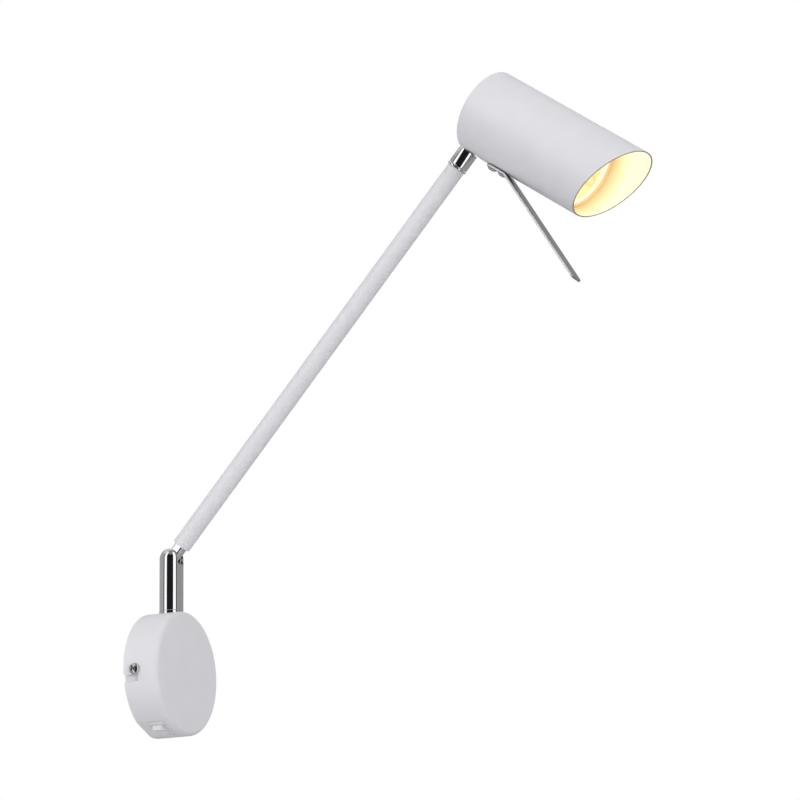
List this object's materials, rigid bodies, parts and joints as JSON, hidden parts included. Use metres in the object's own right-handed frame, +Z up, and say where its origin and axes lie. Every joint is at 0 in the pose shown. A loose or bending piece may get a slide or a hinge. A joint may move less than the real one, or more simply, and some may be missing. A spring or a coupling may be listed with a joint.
{
  "type": "swing arm wall sconce",
  "caption": "Wall reading light: round base with rocker switch, swivelling chrome post, tilting arm, and a tubular spot head on a swivel and tilt neck with a grab handle.",
  "frame": {"origin": "middle of the back of the wall bracket, on the wall", "axes": "+Z up the wall, +Y into the wall, -Y out into the room where the arm reaches, +X to the right of somebody who faces the wall"},
  "size_m": [0.0844, 0.3518, 0.4077],
  "materials": {
    "white_coat": "satin white powder coat, fine orange peel",
    "chrome": "polished chrome plate",
    "handle_steel": "brushed, bright cut edges",
    "zinc_steel": "bright zinc plate",
    "screw_nickel": "nickel plate",
    "brass": "plain brass",
    "switch_plastic": "smooth white",
    "nylon": "natural nylon",
    "block_plastic": "moulded, slightly cloudy",
    "rubber": "matte black",
    "ceramic": "glazed off white",
    "reflector": "facetted mirror coat",
    "lamp_glass": "clear cover glass",
    "lead_sleeve": "heat resistant sleeve"
  },
  "bodies": {
    "base": {"wall_bracket": "white_coat", "base_cover": "white_coat", "cover_screws": "screw_nickel", "cable_grommet": "rubber", "earth_screw": "brass", "terminal_block": "block_plastic", "terminal_clamps": "brass", "terminal_screws": "brass", "block_screw": "screw_nickel", "switch_housing": "switch_plastic", "switch_terminals": "brass", "base_wires": "lead_sleeve", "post_ring": "chrome", "post_saddle": "nylon"},
    "rocker": {"switch_rocker": "switch_plastic"},
    "swivel_post": {"post": "chrome", "post_washer": "zinc_steel", "post_nut": "zinc_steel", "elbow_pin": "chrome", "post_wires": "lead_sleeve"},
    "swing_arm": {"elbow_discs": "nylon", "arm_tongue": "chrome", "arm_tube": "white_coat", "arm_bush": "chrome", "neck_washer": "zinc_steel", "neck_nut": "zinc_steel", "arm_wires": "lead_sleeve"},
    "neck": {"neck_sleeve": "chrome", "neck_tongue": "zinc_steel", "neck_wires": "lead_sleeve"},
    "spot_head": {"shade": "white_coat", "lamp_bracket": "zinc_steel", "tilt_screw": "screw_nickel", "tilt_discs": "nylon", "tilt_nut": "zinc_steel", "handle": "handle_steel", "handle_screws": "screw_nickel", "lampholder": "ceramic", "lampholder_screws": "screw_nickel", "lampholder_contacts": "brass", "bulb_base": "ceramic", "bulb_pins": "screw_nickel", "bulb_reflector": "reflector", "bulb_burner": "lamp_glass", "bulb_glass": "lamp_glass", "head_wires": "lead_sleeve"}
  },
  "joints": [
    {"name": "rocker_press", "type": "hinge", "parent": "base", "child": "rocker", "pos_m": [-0.0138, -0.0136, -0.03594], "axis": [0, 1, 0], "range_deg": [0, 24]},
    {"name": "post_swivel", "type": "hinge", "parent": "base", "child": "swivel_post", "pos_m": [0, -0.0125, 0.0412], "axis": [0, 0, 1], "range_deg": [-80, 80]},
    {"name": "elbow_tilt", "type": "hinge", "parent": "swivel_post", "child": "swing_arm", "pos_m": [0, -0.0125, 0.0757], "axis": [1, 0, 0], "range_deg": [-41.5, 48.5]},
    {"name": "head_swivel", "type": "hinge", "parent": "swing_arm", "child": "neck", "pos_m": [0, -0.22089, 0.31125], "axis": [0, -0.6626, 0.749], "range_deg": [-165, 165]},
    {"name": "head_tilt", "type": "hinge", "parent": "neck", "child": "spot_head", "pos_m": [0, -0.23441, 0.32653], "axis": [1, 0, 0], "range_deg": [-45, 20]}
  ]
}
